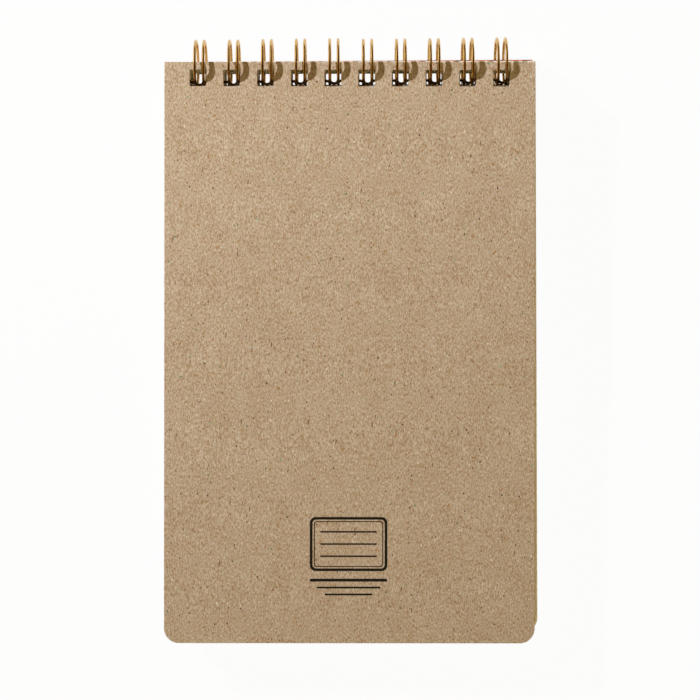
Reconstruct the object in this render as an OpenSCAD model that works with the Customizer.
// Reporter notebook: a pad of pages between a red card front cover and a kraft board back cover,
// hung along its short top edge on a comb of ten twin wire loops.
// It lies face down, as on a table: the kraft back cover is up and the binding points to +Y.

/* [Covers] */
// Width of the covers, side to side
cover_w = 139.7; // [100:0.1:200]
// Length of the covers, from the binding edge to the free edge
cover_l = 219; // [140:0.5:300]
// Thickness of the kraft board of the back cover
back_t = 1.1; // [0.8:0.05:1.3]
// Thickness of the card of the front cover
front_t = 0.4; // [0.25:0.05:0.6]
// Radius of the two rounded corners at the free edge, on covers and pages
corner_r = 5.6; // [1:0.1:15]

/* [Pages] */
// Thickness of the whole block of pages
page_t = 12.2; // [11.6:0.1:12.3]
// How much shorter the pages are than the covers
page_short = 3.1; // [0:0.1:8]

/* [Punched holes] */
// Distance between neighbouring holes
pitch = 12.7; // [11:0.1:14]
// Side of each square hole
hole = 6.35; // [6.2:0.05:6.6]
// Strip of sheet left between the binding edge and the holes
hole_edge = 2.9; // [2.7:0.05:3.1]
// Least strip of sheet left beside the first and the last hole
hole_side = 6; // [3:0.5:9]

/* [Binding wire] */
// Diameter of the wire
wire_d = 1.1; // [0.8:0.05:1.2]
// Room left inside the loops beyond the thickness of the pages and covers
loop_room = 3.2; // [3.1:0.05:3.4]
// Distance between the two legs of a twin loop, centre to centre
leg_gap = 3.2; // [2.6:0.1:3.4]
// Bend radius where a leg turns into the straight spine wire
bend_r = 1.2; // [0.8:0.1:1.4]
// Spine wire left beyond the first and the last loop
end_stub = 2; // [0.5:0.1:3.5]
// How much flatter than a circle each loop ends, to carry its tip over the spine wire
tip_flat = 2.05; // [1.65:0.05:2.45]

/* [How the sheets lie] */
// How far the binding edge of the front cover lies past the middle of the loops
front_up = 2.3; // [0:0.1:2.6]
// How far the binding edge of the last pages lies past the middle of the loops
page_up = 0.2; // [-0.4:0.05:0.25]
// How far the binding edge of the back cover lies past the middle of the loops
back_up = -0.4; // [-0.55:0.05:-0.25]
// Turn of the back cover on the loops, clockwise from above, in degrees
back_turn = 0.42; // [0:0.01:0.45]
// Turn of the pages on the loops, clockwise from above, in degrees
page_turn = 0.2; // [0:0.01:0.25]
// Sideways shift of the back cover on the loops, to the left from above
back_shift = 0.35; // [0:0.05:0.5]

/* [Hidden] */
$fn = 48;

// Clearance between the wire and a sheet that lies on it
fit = 0.1;
// Clearance between the wire and the edge of a sheet inside the loops
slack = 0.3;
// Overlap of neighbouring runs of the wire, and of neighbouring sheaves of pages
lap = 0.05;
// How much thicker every second run of the wire is, so that it closes over its neighbours
swell = 0.005;

// As many holes and twin loops as fit across the covers
holes = floor((cover_w - 2 * hole_side - hole) / pitch) + 1;

// Outer diameter of the closed loops, then the radii of the wire, of its middle line and of the inside
loop_od = front_t + page_t + back_t + loop_room + 2 * wire_d;
wire_r = wire_d / 2;
loop_r = loop_od / 2 - wire_r;
inner_r = loop_r - wire_r;
// Middle of the row of holes, down from the binding edge
row = hole_edge + hole / 2;

// Heights over the middle of the loops
front_low = -sqrt(pow(inner_r - slack, 2) - pow(front_up, 2));
page_low = front_low + front_t;
page_top = page_low + page_t;
spine_z = page_top + fit + wire_r;

// Where the spine wire runs, and the angles round the loop at which its parts begin and end
spine_dist = norm([loop_r, bend_r]);
spine_a = 180 - asin(spine_z / spine_dist);
spine_y = spine_dist * cos(spine_a);
leg_a = spine_a + atan(bend_r / loop_r);
arc_a = spine_a - 72;
tip_a = spine_a - 17;

// Length of the pages, and where their free edge lies
page_l = cover_l - page_short;
page_end = page_up - page_l;

// The loops push the pages nearest their middle down, in two steps: how far, and over which heights
page_reach = row + hole / 2 - page_up - hole_x(holes - 1) * sin(page_turn);
page_push = max(0.02, loop_od / 2 + fit - page_reach);
step_1 = sqrt(pow(page_reach + page_push, 2) - pow(page_reach, 2));
step_2 = sqrt(pow(page_reach + page_push, 2) - pow(page_reach + page_push / 2, 2));

// The back cover lies on the spine wire and on the far end of the pages
back_lift = wire_d + fit;
back_tilt = atan(back_lift / (spine_y - page_end));

// The whole notebook rests on the loops and on the free edge of the front cover
run = cover_l - front_up;
rest_tilt = asin(loop_od / 2 / norm([run, front_low])) + atan(front_low / run);

// The middle of the outside, seen from above
back_corner = [cover_w / 2 - corner_r, cover_l - corner_r - row];
left_x = -back_shift - corner_r - back_corner[0] * cos(back_turn) - back_corner[1] * sin(back_turn);
mid_x = (left_x + cover_w / 2) / 2;
low_y = back_up - row - corner_r - back_corner[1] * cos(back_turn) - back_corner[0] * sin(back_turn);
mid_y = (low_y + loop_od / 2) / 2;

function hole_x(i) = (i - (holes - 1) / 2) * pitch;

// Puts what is drawn round the middle of the loops where it lies on the table
module at_rest() {
    translate([-mid_x, -mid_y, loop_od / 2])
        rotate([rest_tilt, 0, 0])
            children();
}

// One sheet seen from above, with its binding edge on the X axis
module sheet_outline(l) {
    difference() {
        union() {
            translate([-cover_w / 2, -l + corner_r])
                square([cover_w, l - corner_r]);
            translate([-cover_w / 2 + corner_r, -l])
                square([cover_w - 2 * corner_r, corner_r]);
            for (s = [-1, 1])
                translate([s * (cover_w / 2 - corner_r), -l + corner_r])
                    circle(corner_r);
        }
        for (i = [0 : holes - 1])
            translate([hole_x(i) - hole / 2, -hole_edge - hole])
                square(hole);
    }
}

// A sheet or a stack of sheets, turned clockwise about the middle of its row of holes
module sheet(l, t, up, turn = 0, shift = 0) {
    translate([-shift, up - row, 0])
        rotate([0, 0, -turn])
            translate([0, row, 0])
                linear_extrude(t)
                    sheet_outline(l);
}

module front_cover() {
    color("Coral")
        at_rest()
            translate([0, 0, front_low])
                sheet(cover_l, front_t, front_up);
}

// Pages from height z0 to z1, as far as the block reaches, pushed down by p
module sheaf(z0, z1, p) {
    low = max(z0, page_low);
    high = min(z1, page_top);
    if (high > low)
        translate([0, 0, low])
            sheet(page_l, high - low, page_up - p, page_turn);
}

module page_block() {
    color("Ivory")
        at_rest() {
            sheaf(page_low, -step_1, 0);
            sheaf(-step_1 - lap, -step_2, page_push / 2);
            sheaf(-step_2 - lap, step_2 + lap, page_push);
            sheaf(step_2, step_1 + lap, page_push / 2);
            sheaf(step_1, page_top, 0);
        }
}

module back_cover() {
    color("BurlyWood")
        at_rest()
            translate([0, page_end, page_top + fit])
                rotate([back_tilt, 0, 0])
                    translate([0, -page_end, 0])
                        sheet(cover_l, back_t, back_up, back_turn, back_shift);
}

// Run of wire bent to radius r about Z, from angle a0 to a1, lapped and swollen where it is a thick one
module bent(r, a0, a1, thick = false) {
    over = thick ? lap / r * 180 / PI : 0;
    rotate([0, 0, a0 - over])
        rotate_extrude(angle = a1 - a0 + 2 * over)
            translate([r, 0])
                circle(wire_r + (thick ? swell : 0));
}

// Turns a run drawn about Z round the X axis, with its angles measured from +Y towards +Z
module round_x() {
    rotate([90, 0, 90])
        children();
}

// Two legs that leave the spine wire, run round the sheets and close in a half ring over the spine
module twin_loop() {
    tip_r = loop_r + tip_flat;
    tip_y = tip_r * cos(tip_a) - tip_flat * cos(arc_a);
    tip_z = tip_r * sin(tip_a) - tip_flat * sin(arc_a);
    for (s = [-1, 1])
        translate([s * leg_gap / 2, 0, 0]) {
            translate([s * bend_r, loop_r * cos(leg_a), loop_r * sin(leg_a)])
                rotate([leg_a - 90, 0, 0])
                    bent(bend_r, s > 0 ? 90 : 0, s > 0 ? 180 : 90, true);
            round_x()
                bent(loop_r, leg_a, arc_a + 360);
            translate([0, -tip_flat * cos(arc_a), -tip_flat * sin(arc_a)])
                round_x()
                    bent(tip_r, arc_a, tip_a, true);
        }
    translate([0, tip_y, tip_z])
        rotate([tip_a + 90, 0, 0])
            bent(leg_gap / 2, 0, 180);
}

// Straight spine wire of length l towards +X, from x
module spine(x, l) {
    translate([x, spine_y, spine_z])
        rotate([leg_a - 90, 0, 0])
            rotate([0, 90, 0])
                cylinder(r = wire_r, h = l);
}

// The whole comb is one wire: each loop runs out of the spine, round the sheets and back
module binding_wire() {
    side = leg_gap / 2 + bend_r;
    color("Goldenrod")
        at_rest() {
            for (i = [0 : holes - 1])
                translate([hole_x(i), 0, 0])
                    twin_loop();
            for (i = [0 : holes - 2])
                spine(hole_x(i) + side, pitch - 2 * side);
            spine(hole_x(0) - side - end_stub, end_stub);
            spine(hole_x(holes - 1) + side, end_stub);
        }
}

front_cover();
page_block();
back_cover();
binding_wire();
